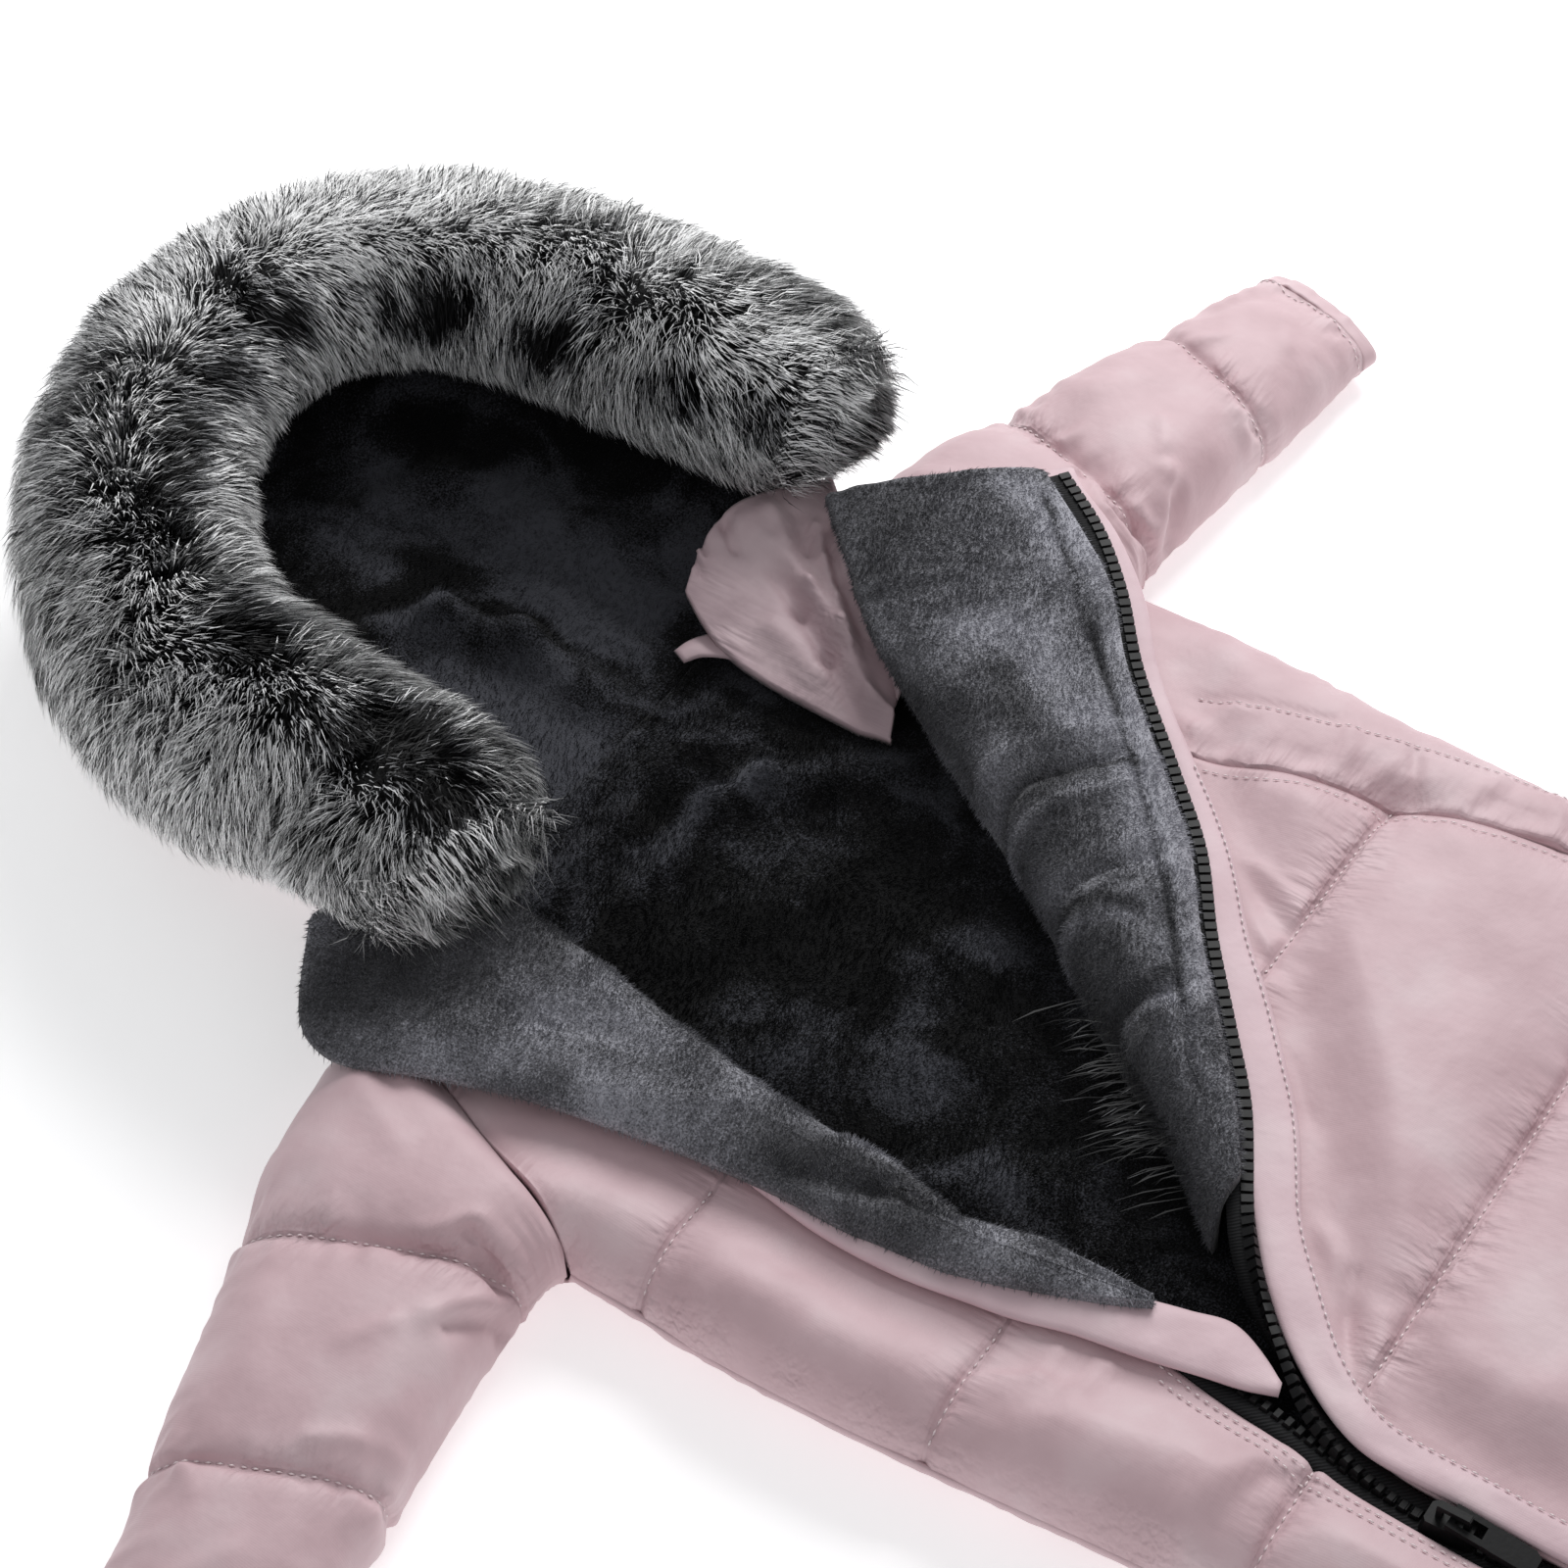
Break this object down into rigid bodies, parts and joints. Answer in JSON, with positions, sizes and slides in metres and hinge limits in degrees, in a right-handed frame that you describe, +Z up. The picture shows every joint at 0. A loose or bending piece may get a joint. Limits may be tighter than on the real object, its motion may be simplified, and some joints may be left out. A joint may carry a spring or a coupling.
{
  "type": "baby bunting bag",
  "caption": "Quilted baby bunting bag lying open on its back, with a fur-trimmed hood, plush lining, two sleeves and an off-centre zip.",
  "frame": {"origin": "on the flat underside, midway between the two armpits", "axes": "+X to the wearer's left, +Y from the foot end to the hood, +Z up, out of the open front"},
  "size_m": [0.7276, 0.8639, 0.101],
  "materials": {
    "pink_nylon": "satin woven nylon",
    "pink_nylon_band": "satin woven nylon",
    "dark_plush": "dark short plush",
    "grey_plush": "grey short plush",
    "black_tape": "woven zip tape",
    "black_acetal": "moulded, satin",
    "faux_fur": "long black pile with white tips"
  },
  "bodies": {
    "garment": {"back_panel": "pink_nylon", "lining_back": "dark_plush", "front_right": "pink_nylon", "front_left": "pink_nylon", "side_left": "pink_nylon", "facing_right": "grey_plush", "facing_left": "grey_plush", "placket_right": "pink_nylon_band", "placket_left": "pink_nylon_band", "neck_guard": "pink_nylon_band", "zip_tape_right": "black_tape", "zip_tape_left": "black_tape", "zip_slider": "black_acetal", "hood_right": "pink_nylon", "hood_centre": "pink_nylon", "hood_left": "pink_nylon", "hood_lining": "dark_plush", "fur_trim": "faux_fur", "sleeve_right": "pink_nylon", "sleeve_left": "pink_nylon", "cuff_right": "pink_nylon", "cuff_left": "pink_nylon"},
    "pull_tab": {"pull_tab": "black_acetal"}
  },
  "joints": [
    {"name": "pull_tab_hinge", "type": "hinge", "parent": "garment", "child": "pull_tab", "pos_m": [-0.121, -0.262, 0.0398], "axis": [-1, 0, 0], "range_deg": [0, 150]}
  ]
}
